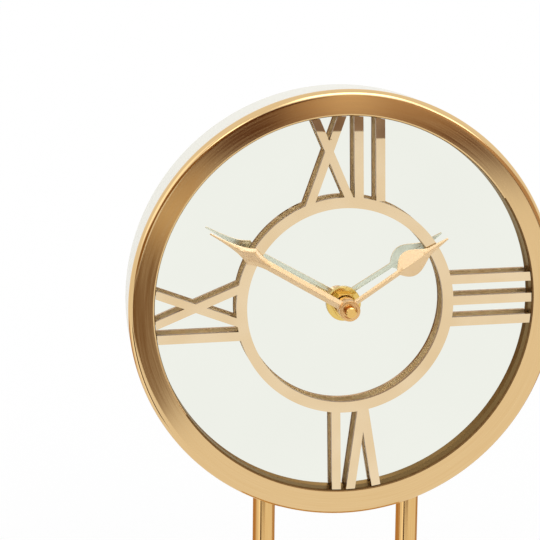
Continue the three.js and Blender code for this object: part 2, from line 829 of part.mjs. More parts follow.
// Stand
function post() {
  const radius = postDiameter / 2;
  const foot = baseTop + seat;
  const plugTop = dialHeight - Math.sqrt((drumRadius + slip) ** 2 - (postSpacing / 2 + radius) ** 2);
  const boreTop = dialHeight - drumRadius - plugLength;
  const studTop = dialHeight - saddleDrop + seat + postNutThickness + studProud;
  const body = upright(turned([
    [threadBore, foot],
    [radius, foot],
    [radius, plugTop],
    [0, plugTop],
    [0, boreTop],
    [threadBore, boreTop],
    [threadBore, foot],
  ]));
  const coping = rod(drumRadius + slip, -postDiameter, postDiameter, rimSegments * 2);
  const stud = upright(rod(studDiameter / 2, boreTop + seat, studTop));
  return { body, coping, stud };
}

function finishedPost(side) {
  const { body, coping, stud } = post();
  const aside = (side * postSpacing) / 2;
  return join(cut(body, coping.translate(-aside, 0, dialHeight)), stud).translate(aside, 0, 0);
}

function saddle(side) {
  const middle = (side * postSpacing) / 2;
  const block = new THREE.BoxGeometry(saddleWidth, saddleDepth, drumRadius - saddleDrop);
  block.translate(middle, postDepth, -(drumRadius + saddleDrop) / 2);
  const inside = rod(drumInner - slip, postDepth - saddleDepth, postDepth + saddleDepth, rimSegments * 2);
  const hole = upright(rod(studDiameter / 2 + slip, -drumRadius, -saddleDrop + slip));
  return cut(common(block, inside), hole.translate(middle, postDepth, 0));
}

function postNut() {
  const settings = { depth: postNutThickness, bevelEnabled: false };
  const body = new THREE.ExtrudeGeometry(hexagon(postNutAcross), settings);
  return cut(body, upright(rod(threadBore, -slip, postNutThickness + slip)));
}

function basePlate() {
  const outline = roundedRectangle(baseWidth - 2 * baseChamfer, baseDepth - 2 * baseChamfer, baseCorner);
  const settings = {
    depth: baseThickness - 2 * baseChamfer,
    bevelSize: baseChamfer,
    bevelThickness: baseChamfer,
    bevelSegments: 1,
    curveSegments,
  };
  const slab = new THREE.ExtrudeGeometry(outline, settings).translate(0, 0, padThickness + baseChamfer);
  const holes = [-1, 1].flatMap((side) => {
    const through = upright(rod(studDiameter / 2 + slip, 0, baseTop + slip));
    const boreTop = padThickness + screwHeadThickness + slip;
    const counterbore = upright(rod(screwHeadDiameter / 2 + slip, 0, boreTop));
    return [through, counterbore].map((hole) => hole.translate((side * postSpacing) / 2, 0, 0));
  });
  return cut(slab, ...holes);
}

function baseScrew() {
  const under = padThickness + screwHeadThickness + slip - seat;
  return upright(turned([
    [0, under - screwHeadThickness],
    [screwHeadDiameter / 2, under - screwHeadThickness],
    [screwHeadDiameter / 2, under],
    [studDiameter / 2, under],
    [studDiameter / 2, baseTop + screwReach],
    [0, baseTop + screwReach],
  ]));
}

function footPad() {
  const radius = padDiameter / 2;
  const top = padThickness - seat;
  return upright(turned([[0, 0], [radius - padBevel, 0], [radius, padBevel], [radius, top], [0, top]]));
}

// Assembly: the head has its own frame, with its origin in the middle of the numerals' face
const clock = new THREE.Group();
const head = new THREE.Group();
head.position.copy(drumAxis);
clock.add(head);

head.add(piece('bezel_ring', bezelRing(), gold));
head.add(piece('case_drum', caseDrum(), whiteLacquer));
const mirror = ring(bushHole, glassRadius, mirrorFront, mirrorBack, rimSegments);
const board = ring(bushHole, glassRadius, boardFront, boardBack, rimSegments);
head.add(piece('mirror_dial', mirror, silvered));
head.add(piece('backing_board', board, fibreboard));
head.add(piece('back_panel', backPanel(), blackBoard));

const numerals = piece('numeral_ring', numeralRing(), gold);
numerals.rotation.y = THREE.MathUtils.degToRad(numeralTurn);
head.add(numerals);

clipAngles.forEach((degrees, i) => {
  const clip = piece(`dial_clip_${i + 1}`, dialClip(), steel);
  clip.rotation.y = -THREE.MathUtils.degToRad(degrees);
  head.add(clip);
});

panelScrewAngles.forEach((degrees, i) => {
  const screw = piece(`back_screw_${i + 1}`, panelScrew(), steel);
  const { x, y } = panelScrewPlace(degrees);
  screw.position.set(x, 0, y);
  head.add(screw);
});

const nutHole = rod(bushDiameter / 2 + running, nutFront - slip, nutFront + nutThickness + slip);
const nutBody = plate(hexagon(nutAcross), nutFront, nutFront + nutThickness);
const washerBack = washerFront + washerThickness;
head.add(piece('dial_washer', ring(bushHole, washerDiameter / 2, washerFront, washerBack), brass));
head.add(piece('dial_nut', cut(nutBody, nutHole), brass));
head.add(piece('gasket', ring(bushHole, gasketDiameter / 2, gasketFront, gasketBack), rubber));
head.add(piece('movement_case', movementCase(), blackPlastic));
head.add(piece('movement_cover', movementCover(), blackPlastic));

const hands = [
  ['hour_hand', hourHand(), hourAngle],
  ['minute_hand', minuteHand(), minuteAngle],
];
hands.forEach(([name, geometry, degrees]) => {
  const hand = piece(name, geometry, handGold);
  hand.rotation.y = THREE.MathUtils.degToRad(degrees);
  head.add(hand);
});
head.add(piece('cap_nut', capNut(), brass));

head.add(piece('minute_arbor', minuteArbor(), brass));
head.add(piece('minute_wheel', onAxis(minuteWheel(), settingAxis), whitePlastic));
head.add(piece('setting_knob', onAxis(settingKnob(), settingAxis), blackPlastic));
head.add(piece('hour_wheel', hourWheel(), brass));
head.add(piece('centre_wheel', centreWheel(), whitePlastic));
head.add(piece('third_wheel', onAxis(thirdWheel(), thirdAxis), whitePlastic));
head.add(piece('seconds_wheel', secondsWheel(), whitePlastic));
head.add(piece('fifth_wheel', onAxis(fifthWheel(), fifthAxis), whitePlastic));
head.add(piece('rotor', onAxis(rotor(), rotorAxis), steel));
head.add(piece('stator', onAxis(stator(), rotorAxis), steel));
head.add(piece('coil', onAxis(coil(), new THREE.Vector2(rotorAxis.x, coilHeight)), copper));

const circuitOutline = roundedRectangle(circuitLength, circuitHeight, seat);
const circuit = plate(circuitOutline, circuitFront, circuitFront + circuitThickness);
head.add(piece('circuit_board', onAxis(circuit, circuitMiddle), circuitGreen));
head.add(piece('battery_cell', batteryCell().translate(0, batteryDepth, -batteryDrop), cellSleeve));
head.add(piece('contact_plus', contact(1), steel));
head.add(piece('contact_minus', contact(-1), steel));

[['left', -1], ['right', 1]].forEach(([word, side]) => {
  clock.add(piece(`post_${word}`, finishedPost(side), gold));
  head.add(piece(`saddle_${word}`, saddle(side), steel));
  const nut = piece(`post_nut_${word}`, postNut(), steel);
  nut.position.set((side * postSpacing) / 2, postDepth, seat - saddleDrop);
  head.add(nut);
  const screw = piece(`base_screw_${word}`, baseScrew(), steel);
  screw.position.x = (side * postSpacing) / 2;
  clock.add(screw);
});

clock.add(piece('base_plate', basePlate(), gold));
[[-1, -1], [1, -1], [1, 1], [-1, 1]].forEach(([x, y], i) => {
  const pad = piece(`foot_pad_${i + 1}`, footPad(), rubber);
  pad.position.set(x * (baseWidth / 2 - padInset), y * (baseDepth / 2 - padInset), 0);
  clock.add(pad);
});

export default clock;
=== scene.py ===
import json
import math
import bpy
import bmesh
from mathutils import Matrix, Vector
from mathutils.geometry import interpolate_bezier


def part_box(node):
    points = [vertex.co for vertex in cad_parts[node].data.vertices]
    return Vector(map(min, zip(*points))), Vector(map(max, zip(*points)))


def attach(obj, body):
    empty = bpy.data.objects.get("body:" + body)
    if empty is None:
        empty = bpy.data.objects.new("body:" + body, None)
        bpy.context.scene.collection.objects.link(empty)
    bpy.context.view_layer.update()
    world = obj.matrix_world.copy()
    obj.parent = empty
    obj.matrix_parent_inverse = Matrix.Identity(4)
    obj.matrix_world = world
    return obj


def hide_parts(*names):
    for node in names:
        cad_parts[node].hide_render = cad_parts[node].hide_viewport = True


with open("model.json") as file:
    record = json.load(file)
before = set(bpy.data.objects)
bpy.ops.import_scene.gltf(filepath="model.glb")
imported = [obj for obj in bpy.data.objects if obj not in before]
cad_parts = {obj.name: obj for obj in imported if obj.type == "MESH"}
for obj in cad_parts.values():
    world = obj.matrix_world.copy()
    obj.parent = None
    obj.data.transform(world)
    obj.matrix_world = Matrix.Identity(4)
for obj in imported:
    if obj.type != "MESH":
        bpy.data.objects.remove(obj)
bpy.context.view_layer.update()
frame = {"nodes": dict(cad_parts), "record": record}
nodes = frame["nodes"]
mm = 0.001
widthAxis, depthAxis, upAxis = 0, 1, 2
print("frame loaded:", len(nodes), "solids")

# Places on the head, read from the frame
mirrorLow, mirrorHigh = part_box("mirror_dial")
headHeight = (mirrorLow.z + mirrorHigh.z) / 2
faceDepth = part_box("numeral_ring")[0].y  # front of the numerals, from which depths on the head are measured


def onHead(x, depth, z):
    return Vector((x * mm, faceDepth + depth * mm, headHeight + z * mm))


# Colour, nodes and materials
def colour(text):
    parts = [int(text[i:i + 2], 16) / 255 for i in (1, 3, 5)]
    return tuple(p / 12.92 if p <= 0.04045 else ((p + 0.055) / 1.055) ** 2.4 for p in parts) + (1.0,)


def grey(level):
    return (level, level, level, 1)


def addNode(tree, kind, inputs=None, **settings):
    made = tree.nodes.new(kind)
    for key, value in settings.items():
        setattr(made, key, value)
    for key, value in (inputs or {}).items():
        if isinstance(value, bpy.types.NodeSocket):
            tree.links.new(value, made.inputs[key])
        else:
            made.inputs[key].default_value = value
    return made


def fineness(size):
    return 1 / (size * mm)  # noise scale for features of this size in mm


grainLow, grainHigh = 0.3, 0.7  # most of the noise lies between these


# One build for every finish: two close tones, a gloss that varies and a relief in mm, all from one pattern
def finish(name, light, dark, gloss, relief, pattern, metal=0.0, coat=0.0, rim="#FFFFFF"):
    made = bpy.data.materials.new(name)
    made.use_nodes = True
    tree = made.node_tree
    tree.nodes.clear()
    grain = pattern(tree, addNode(tree, "ShaderNodeTexCoord").outputs["Object"])
    tone = addNode(tree, "ShaderNodeValToRGB", {"Fac": grain})
    for stop, position, text in zip(tone.color_ramp.elements, (grainLow, grainHigh), (dark, light)):
        stop.position = position
        stop.color = colour(text)
    sheen = addNode(tree, "ShaderNodeMapRange", {
        "Value": grain, "From Min": grainLow, "From Max": grainHigh, "To Min": gloss[0], "To Max": gloss[1]})
    bump = addNode(tree, "ShaderNodeBump", {"Height": grain, "Strength": 1.0, "Distance": relief * mm})
    shader = addNode(tree, "ShaderNodeBsdfPrincipled", {
        "Base Color": tone.outputs["Color"], "Roughness": sheen.outputs["Result"],
        "Normal": bump.outputs["Normal"], "Metallic": metal, "Specular Tint": colour(rim),
        "Coat Weight": coat, "Coat Roughness": 0.05, "Coat IOR": 1.7})
    addNode(tree, "ShaderNodeOutputMaterial", {"Surface": shader.outputs["BSDF"]})
    return made


# Even grain: rolled sheet, moulded plastic, lacquer
def evenGrain(size, detail=2.0):
    def pattern(tree, place):
        return addNode(tree, "ShaderNodeTexNoise", {
            "Vector": place, "Scale": fineness(size), "Detail": detail}).outputs["Fac"]
    return pattern


# Lines left by drawing or brushing, long along one axis and drawn coarser than real ones, so that they show
def drawnLines(across, along, axis):
    def pattern(tree, place):
        stretch = [1.0, 1.0, 1.0]
        stretch[axis] = across / along
        lines = addNode(tree, "ShaderNodeMapping", {"Vector": place, "Scale": stretch})
        return addNode(tree, "ShaderNodeTexNoise", {
            "Vector": lines.outputs["Vector"], "Scale": fineness(across), "Detail": 3.0}).outputs["Fac"]
    return pattern


# Lines that run round the dial's axis, as turning leaves them, also drawn coarser than real ones
def turnedLines(across, along, radius):
    def pattern(tree, place):
        centred = addNode(tree, "ShaderNodeMapping", {"Vector": place, "Location": (0, 0, -headHeight)})
        parts = addNode(tree, "ShaderNodeSeparateXYZ", {"Vector": centred.outputs["Vector"]})
        flat = addNode(tree, "ShaderNodeCombineXYZ", {"X": parts.outputs["X"], "Y": parts.outputs["Z"]})
        reach = addNode(tree, "ShaderNodeVectorMath", {0: flat.outputs["Vector"]}, operation="LENGTH")
        unit = addNode(tree, "ShaderNodeVectorMath", {0: flat.outputs["Vector"]}, operation="NORMALIZE")
        swept = addNode(tree, "ShaderNodeVectorMath", {
            0: unit.outputs["Vector"], 3: radius * mm * across / along}, operation="SCALE")
        spot = addNode(tree, "ShaderNodeSeparateXYZ", {"Vector": swept.outputs["Vector"]})
        polar = addNode(tree, "ShaderNodeCombineXYZ", {
            "X": spot.outputs["X"], "Y": spot.outputs["Y"], "Z": reach.outputs["Value"]})
        return addNode(tree, "ShaderNodeTexNoise", {
            "Vector": polar.outputs["Vector"], "Scale": fineness(across), "Detail": 2.0}).outputs["Fac"]
    return pattern


# Lacquered sheet steel, polished: bright, with a slow waviness from rolling that bends reflections
numeralGold = finish("gold lacquered sheet, polished", "#EBD4AF", "#E3C89E",
                     gloss=(0.06, 0.1), relief=0.04, pattern=evenGrain(24), metal=1.0)
# Its cut sides, painted dark brown as the shade on these thin walls
cutEdgeShade = finish("gold lacquered sheet, cut edge", "#9C7038", "#8A5F2D",
                 gloss=(0.24, 0.32), relief=0.004, pattern=evenGrain(3), metal=1.0)
# Its back, left dull: a soft even gold in the mirror
dullBack = finish("gold lacquered sheet, unpolished back", "#FFE2BA", "#FAD6A9",
                  gloss=(0.48, 0.56), relief=0.004, pattern=evenGrain(3), metal=1.0)
# Lacquered over turned metal: fine rings round the bezel blur reflections along them
bezelGold = finish("gold lacquered ring, turned", "#E2C18D", "#DEBB86",
                   gloss=(0.07, 0.11), relief=0.0012, pattern=turnedLines(0.6, 30, radius=94), metal=1.0)
# Its inner wall, dull and dark brown: painted shade in the recess
shadedInnerWall = finish("gold lacquered ring, inner wall with painted shade", "#7F613C", "#705232",
                 gloss=(0.3, 0.4), relief=0.004, pattern=evenGrain(2), metal=1.0, rim="#F0E4CC")
# Drawn tube: faint lines run down its length
postGold = finish("gold lacquered tube, drawn", "#E3BC7E", "#DBB070",
                  gloss=(0.06, 0.1), relief=0.002, pattern=drawnLines(0.5, 40, upAxis), metal=1.0)
# Ground plate: straight lines along the width of the base
plateGold = finish("gold lacquered plate, ground", "#E0BC80", "#D6AF70",
                   gloss=(0.34, 0.46), relief=0.004, pattern=drawnLines(0.5, 40, widthAxis), metal=1.0)
# Stamped aluminium hands: a clear gold lacquer over a soft sheen in front
handGold = finish("gold lacquered aluminium, stamped", "#E4C596", "#E0BF8B",
                  gloss=(0.42, 0.48), relief=0.003, pattern=evenGrain(6), metal=1.0, coat=1.0)
# Bare behind, so that they look pale grey in the mirror
handBack = finish("bare aluminium, rolled", "#FCFDF8", "#F6F7F0",
                  gloss=(0.28, 0.34), relief=0.001, pattern=drawnLines(0.4, 12, upAxis), metal=1.0)
# Turned bosses of the hands: the same lacquer, redder over a turned face
bossGold = finish("gold lacquered boss, turned", "#E8BC80", "#E0B072",
                  gloss=(0.2, 0.28), relief=0.002, pattern=turnedLines(0.3, 20, radius=4),
                  metal=1.0, coat=0.2)
# Turned pin with gold plating: clear highlights, a warm yellow
pinGold = finish("gold plated pin, turned", "#E8BC68", "#E0B25A",
                 gloss=(0.08, 0.14), relief=0.002, pattern=turnedLines(0.25, 20, radius=2.5),
                 metal=1.0, coat=0.6)
# Unplated brass fittings: a greener yellow
brass = finish("brass, turned", "#EBCB78", "#E2BE66",
               gloss=(0.1, 0.18), relief=0.002, pattern=turnedLines(0.3, 20, radius=6), metal=1.0)
# Silvered glass: near perfect reflection, cool and a little green
mirrorGlass = finish("silvered glass, polished", "#EFF1E9", "#EDEFE7",
                     gloss=(0.0, 0.003), relief=0.0005, pattern=evenGrain(60), metal=1.0)
# Sprayed lacquer on sheet steel: a soft gloss with a slight orange peel
whiteLacquer = finish("white lacquer, sprayed", "#EDEBDE", "#E9E7DA",
                      gloss=(0.3, 0.38), relief=0.006, pattern=evenGrain(1.6), coat=0.3)
# Pressed boards: matt, with short fibres
blackBoard = finish("hardboard, painted black", "#26262A", "#1A1A1D",
                    gloss=(0.55, 0.75), relief=0.03, pattern=evenGrain(1.2, detail=5.0))
fibreboard = finish("fibreboard, pressed", "#94724E", "#7C5E3E",
                    gloss=(0.75, 0.9), relief=0.03, pattern=evenGrain(1.5, detail=6.0))
# Moulded plastics: black with a spark-eroded grain, gears in smooth natural white
blackPlastic = finish("black plastic, moulded", "#202023", "#161618",
                      gloss=(0.4, 0.55), relief=0.012, pattern=evenGrain(0.5))
whitePlastic = finish("white plastic, moulded", "#ECE9DE", "#E2DFD3",
                      gloss=(0.35, 0.5), relief=0.004, pattern=evenGrain(2))
# Moulded rubber: near black and matt
rubber = finish("rubber, moulded", "#2B2B2C", "#1F1F20",
                gloss=(0.8, 0.95), relief=0.02, pattern=evenGrain(0.8, detail=4.0))
# Zinc-plated steel: a soft bluish grey with a mottled gloss
zinc = finish("zinc plated steel", "#C3C7CA", "#AEB3B6",
              gloss=(0.25, 0.42), relief=0.004, pattern=evenGrain(2.5, detail=4.0), metal=1.0)
# Wound wire: close turns, with a painted highlight on top of each and painted shade between
copper = finish("copper wire, wound", "#C27A4A", "#8E4C28",
                gloss=(0.25, 0.4), relief=0.06, pattern=drawnLines(0.35, 60, depthAxis), metal=1.0)
# Resist over copper: an even green with a half gloss
circuitGreen = finish("circuit board, green resist", "#246543", "#1A4E32",
                      gloss=(0.35, 0.5), relief=0.01, pattern=evenGrain(1.5))
# Film shrunk on the can: smooth, with some of the metal's shine
cellSleeve = finish("printed film sleeve", "#8F9499", "#7F8489",
                    gloss=(0.22, 0.34), relief=0.004, pattern=evenGrain(10), metal=0.5)

slotFinish = {
    "gold_steel": plateGold, "gold_plate": numeralGold, "gold_hands": handGold, "white_lacquer": whiteLacquer,
    "mirror": mirrorGlass, "fibreboard": fibreboard, "black_board": blackBoard, "brass": brass, "steel": zinc,
    "black_plastic": blackPlastic, "white_plastic": whitePlastic, "rubber": rubber, "copper": copper,
    "circuit": circuitGreen, "cell": cellSleeve,
}
for subpart in frame["record"]["subparts"]:
    for place in nodes[subpart["node"]].material_slots:
        place.material = slotFinish[subpart["material_slot"]]
print("finishes made:", len(bpy.data.materials))

# Modelling
weldReach = mm / 500  # points closer than this are made one
hair = 0.01  # mm, to tell on which side of a line a point is
largeRound, middleRound, hubRound, smallRound = 256, 128, 96, 64  # faces round a turned piece


def settle(name):
    piece = bpy.context.object
    piece.name = name
    bpy.ops.object.transform_apply(location=True, rotation=True, scale=True)
    return piece


def select(piece):
    bpy.ops.object.select_all(action="DESELECT")
    piece.select_set(True)
    bpy.context.view_layer.objects.active = piece


# A turned piece: a vertex is drawn along the profile and spun about the axis
def turned(name, points, centre, axis, steps):
    bpy.ops.object.select_all(action="DESELECT")
    bpy.ops.mesh.primitive_plane_add(size=mm)
    bpy.ops.object.mode_set(mode="EDIT")
    bpy.ops.mesh.select_all(action="SELECT")
    bpy.ops.mesh.merge(type="CENTER")
    bpy.ops.transform.translate(value=points[0])
    for start, end in zip(points, points[1:]):
        bpy.ops.mesh.extrude_vertices_move(TRANSFORM_OT_translate={"value": end - start})
    bpy.ops.mesh.select_all(action="SELECT")
    bpy.ops.mesh.spin(steps=steps, angle=math.tau, center=centre, axis=axis)
    bpy.ops.mesh.select_all(action="SELECT")
    bpy.ops.mesh.remove_doubles(threshold=weldReach)
    bpy.ops.mesh.normals_make_consistent(inside=False)
    bpy.ops.object.mode_set(mode="OBJECT")
    return settle(name)


def turnedOnHead(name, profile, steps, x=0, z=0):
    points = [onHead(x + radius, depth, z) for radius, depth in profile]
    return turned(name, points, onHead(x, 0, z), (0, 1, 0), steps)


def turnedUpright(name, profile, x, y, steps):
    points = [Vector(((x + radius) * mm, y * mm, height * mm)) for radius, height in profile]
    return turned(name, points, (x * mm, y * mm, 0), (0, 0, 1), steps)


def quarter(centre, size, start, count=6):
    turns = [math.radians(start + 90 * i / count) for i in range(count + 1)]
    return [(centre[0] + size[0] * math.cos(t), centre[1] + size[1] * math.sin(t)) for t in turns]


def discProfile(radius, start, end):
    return [(0, start), (radius, start), (radius, end), (0, end)]


def ringProfile(inner, outer, start, end):
    return [(inner, start), (outer, start), (outer, end), (inner, end), (inner, start)]


def apply(piece, kind, **settings):
    select(piece)
    step = piece.modifiers.new(kind, kind)
    for key, value in settings.items():
        setattr(step, key, value)
    bpy.ops.object.modifier_apply(modifier=step.name)


def combine(piece, tool, operation):
    apply(piece, "BOOLEAN", operation=operation, object=tool, solver="EXACT")
    bpy.data.objects.remove(tool)


def smooth(piece, angle=30):
    select(piece)
    bpy.ops.object.shade_smooth_by_angle(angle=math.radians(angle))
    apply(piece, "WEIGHTED_NORMAL", keep_sharp=True)  # flat faces stay flat beside rounded edges


def soften(piece, width, segments=2, angle=30):
    apply(piece, "BEVEL", width=width * mm, segments=segments, limit_method="ANGLE",
          angle_limit=math.radians(angle), miter_outer="MITER_ARC", use_clamp_overlap=True)
    smooth(piece, angle)


def block(name, size, middle, turn=0):
    bpy.ops.object.select_all(action="DESELECT")
    bpy.ops.mesh.primitive_cube_add(size=1, location=middle, rotation=(0, math.radians(turn), 0))
    bpy.context.object.scale = [s * mm for s in size]
    return settle(name)


# Rounds those edges of a new block that run along one axis
def roundCorners(piece, axis, radius, segments):
    bpy.ops.object.mode_set(mode="EDIT")
    mesh = bmesh.from_edit_mesh(piece.data)
    for edge in mesh.edges:
        along = edge.verts[0].co - edge.verts[1].co
        edge.select_set(abs(along[axis]) > along.length / 2)
    bmesh.update_edit_mesh(piece.data)
    bpy.ops.mesh.bevel(offset=radius * mm, segments=segments)
    bpy.ops.object.mode_set(mode="OBJECT")


# A cylinder that lies along the dial's axis
def rod(name, radius, length, middle, steps):
    bpy.ops.object.select_all(action="DESELECT")
    bpy.ops.mesh.primitive_cylinder_add(
        vertices=steps, radius=radius * mm, depth=length * mm, location=middle, rotation=(math.pi / 2, 0, 0))
    return settle(name)


def joined(pieces, name):
    select(pieces[0])
    for piece in pieces:
        piece.select_set(True)
    bpy.ops.object.join()
    pieces[0].name = name
    return pieces[0]


def dress(piece, material, body, slot, *names):
    if material:
        piece.data.materials.clear()
        piece.data.materials.append(material)
    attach(piece, body)
    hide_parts(*names)


# Bezel: a channel ring with a rounded inner edge, a flat face and a rounded outer edge
bezel = {"radius": 100, "inner": 87.95, "wall": 1.2, "front": -0.55, "fall": 0.25, "lipWidth": 1,
         "lipDepth": 1.5, "roundWidth": 3.4, "roundDepth": 2.1, "skirt": 0.8, "back": 5.75,
         "innerShadeWidth": 0.3, "innerShadeWidthLow": 0.85, "shadedSide": (0.56, -0.83)}
shoulder = bezel["front"] + bezel["fall"]
roundBack = shoulder + bezel["roundDepth"]
skirtBack = roundBack + bezel["skirt"]
skirtInner = bezel["radius"] - bezel["wall"]
wallOuter = bezel["inner"] + bezel["wall"]
lipRadius = bezel["inner"] + bezel["lipWidth"]
lipBack = bezel["front"] + bezel["lipDepth"]
lipCurve = quarter((lipRadius, lipBack), (bezel["lipWidth"], bezel["lipDepth"]), start=180, count=10)
roundCurve = quarter((bezel["radius"] - bezel["roundWidth"], roundBack),
                     (bezel["roundWidth"], bezel["roundDepth"]), start=270, count=12)
bezelPiece = turnedOnHead("bezelRing", [
    (bezel["inner"], bezel["back"]), *lipCurve, *roundCurve,
    (bezel["radius"], skirtBack), (skirtInner, skirtBack),
    (skirtInner, shoulder + bezel["wall"]), (wallOuter, bezel["front"] + bezel["wall"]),
    (wallOuter, bezel["back"]), (bezel["inner"], bezel["back"]),
], largeRound)
smooth(bezelPiece)
dress(bezelPiece, bezelGold, "frame", "gold_steel", "bezel_ring")
bezelPiece.data.materials.append(shadedInnerWall)
# Faces near the inner edge take the painted shade, in a wider band on the lower right side
for face in bezelPiece.data.polygons:
    place = (face.center - onHead(0, 0, 0)) / mm
    low = place.x * bezel["shadedSide"][0] + place.z * bezel["shadedSide"][1] > 0
    shadeReach = bezel["innerShadeWidthLow"] if low else bezel["innerShadeWidth"]  # the painted shade reaches further on the lower right of the inner edge
    face.material_index = 1 if math.hypot(place.x, place.z) < bezel["inner"] + shadeReach else 0

# Drum: rolled sheet with a rounded rear edge and a lip that carries the rear panel
drum = {"radius": 98.7, "wall": 1.5, "front": 1.2, "back": 29.1, "edge": 0.8,
        "lipWidth": 8.2, "lipBack": 26.6}
drumInner = drum["radius"] - drum["wall"]
drumLip = drumInner - drum["lipWidth"]
lipFront = drum["lipBack"] - drum["wall"]
rearEdge = quarter((drum["radius"] - drum["edge"], drum["back"] - drum["edge"]),
                   (drum["edge"], drum["edge"]), start=0)
drumPiece = turnedOnHead("caseDrum", [
    (drum["radius"], drum["front"]), *rearEdge, (drumInner, drum["back"]), (drumInner, drum["lipBack"]),
    (drumLip, drum["lipBack"]), (drumLip, lipFront), (drumInner, lipFront),
    (drumInner, drum["front"]), (drum["radius"], drum["front"]),
], largeRound)
smooth(drumPiece)
dress(drumPiece, whiteLacquer, "frame", "white_lacquer", "case_drum")

# Mirror: glass disc with a ground edge and a centre hole
mirror = {"radius": 96.9, "hole": 4.3, "front": 5.8, "thickness": 2, "edge": 0.25}
mirrorPiece = turnedOnHead("mirrorDial", ringProfile(
    mirror["hole"], mirror["radius"], mirror["front"], mirror["front"] + mirror["thickness"]), largeRound)
soften(mirrorPiece, mirror["edge"])
dress(mirrorPiece, mirrorGlass, "frame", "mirror", "mirror_dial")
print("case and mirror made")

# Numerals: bars laid on a ring, made one plate, trimmed to a circle, edges broken
numeral = {"thickness": 2.2, "ringInner": 45.7, "ringWidth": 5, "reach": 87.78, "root": 2.5, "bar": 4.2,
           "crossBar": 3.7, "veeOuter": 16.5, "veeInner": 5.5, "crossAngle": 21.5, "turn": -1.37,
           "edge": 0.12, "gap": 0.3, "bendAngle": 1.2, "bendCut": 0.4}
beyond = 12  # bars are this much thicker and longer than the plate before it is trimmed
ringOuter = numeral["ringInner"] + numeral["ringWidth"]
barFoot = ringOuter - numeral["root"]
barTop = numeral["reach"] + beyond


def bar(width, foot, top, hour):
    run = Vector(top) - Vector(foot)
    turn = hour + numeral["turn"]
    middle = (Vector(top) + Vector(foot)) / 2
    side, out = math.sin(math.radians(turn)), math.cos(math.radians(turn))
    x, z = middle.x * out + middle.y * side, middle.y * out - middle.x * side
    lean = math.degrees(math.atan2(run.x, run.y))
    return block("bar", (width, numeral["thickness"] + beyond, run.length),
                 onHead(x, numeral["thickness"] / 2, z), turn + lean)


def letterI(hour, offset):
    return [bar(numeral["bar"], (offset, barFoot), (offset, barTop), hour)]


def letterX(hour, offset, rise, lean=0):
    middle = (ringOuter + numeral["reach"]) / 2 + rise
    made = []
    for angle in (lean + numeral["crossAngle"], lean - numeral["crossAngle"]):
        slope = math.tan(math.radians(angle))
        ends = [(offset + slope * (r - middle), r) for r in (numeral["ringInner"], barTop)]
        made.append(bar(numeral["crossBar"], *ends, hour))
    return made


def letterV(hour, offset):
    growth = (numeral["veeOuter"] - numeral["veeInner"]) / 2 / (numeral["reach"] - ringOuter)
    made = []
    for side in (-1, 1):
        edges = [(r, numeral["veeInner"] / 2 + growth * (r - ringOuter) - numeral["bar"] / 2)
                 for r in (barFoot, barTop)]
        ends = [(offset + side * x, r) for r, x in edges]
        made.append(bar(numeral["bar"] * math.cos(math.atan(growth)), *ends, hour))
    return made


def disc(name, radius, margin):
    thickness = numeral["thickness"]
    return rod(name, radius, thickness + margin, onHead(0, thickness / 2, 0), largeRound)


twelve, three, six, nine = 0, 90, 180, 270  # degrees round the dial
bars = [  # letters by their offset in mm
    *letterX(twelve, -7, rise=2.7, lean=-1), *letterI(twelve, 6.6), *letterI(twelve, 16.6),
    *letterI(three, -10), *letterI(three, 0), *letterI(three, 10),
    *letterV(six, -8), *letterI(six, 4.85),
    *letterI(nine, -11.9), *letterX(nine, 2.1, rise=0.1),
]
numeralPiece = disc("numeralRing", ringOuter, beyond / 2)
for step, part in enumerate(bars):
    deeper = 1 + step / 50  # no two faces in one plane
    select(part)
    bpy.ops.transform.resize(value=(1, deeper, 1), center_override=part.location)
    bpy.ops.object.transform_apply(scale=True)
    combine(numeralPiece, part, "UNION")
# The trimming circle follows the bezel's rounded inner edge
trimSteps = 4
trimEdge = []
for step in range(trimSteps + 1):
    depth = numeral["thickness"] * step / trimSteps
    share = math.sqrt(1 - (max(0, lipBack - depth) / bezel["lipDepth"]) ** 2)
    trimEdge.append((lipRadius - bezel["lipWidth"] * share - numeral["gap"], depth))
trim = turnedOnHead("trim", [(0, 0), *trimEdge, (0, numeral["thickness"])], largeRound)
combine(numeralPiece, trim, "INTERSECT")
combine(numeralPiece, disc("hole", numeral["ringInner"], beyond), "DIFFERENCE")
# The tops of the twelve are bent back a little, where they meet the bezel
bends = ({"height": 77.5, "left": 12, "right": 30}, {"height": 81, "left": -40, "right": 12})
select(numeralPiece)
bpy.ops.object.mode_set(mode="EDIT")
bpy.ops.mesh.select_all(action="SELECT")
bpy.ops.mesh.remove_doubles(threshold=weldReach)
for bend in bends:
    for shift in (-numeral["bendCut"], 0, numeral["bendCut"]):  # a cut on either side keeps the bend crisp
        bpy.ops.mesh.select_all(action="SELECT")
        bpy.ops.mesh.bisect(plane_co=onHead(0, 0, bend["height"] + shift), plane_no=(0, 0, 1))
for bend in bends:
    mesh = bmesh.from_edit_mesh(numeralPiece.data)
    for vertex in mesh.verts:
        place = (vertex.co - onHead(0, 0, 0)) / mm
        above = place.z > bend["height"] + hair  # but not the cut itself
        vertex.select_set(above and bend["left"] < place.x < bend["right"])
    mesh.select_flush_mode()
    bmesh.update_edit_mesh(numeralPiece.data)
    bpy.ops.transform.rotate(value=math.radians(numeral["bendAngle"]), orient_axis="X",
                             center_override=onHead(0, 0, bend["height"]))
bpy.ops.object.mode_set(mode="OBJECT")
soften(numeralPiece, numeral["edge"], segments=3)
dress(numeralPiece, numeralGold, "frame", "gold_plate", "numeral_ring")
numeralPiece.data.materials.append(cutEdgeShade)
numeralPiece.data.materials.append(dullBack)
sheetSide = {"front": 0, "cut": 1, "back": 2}
for face in numeralPiece.data.polygons:
    facing = "cut" if abs(face.normal.y) < 0.5 else "back" if face.normal.y > 0 else "front"
    face.material_index = sheetSide[facing]
print("numerals made:", len(numeralPiece.data.vertices), "vertices")


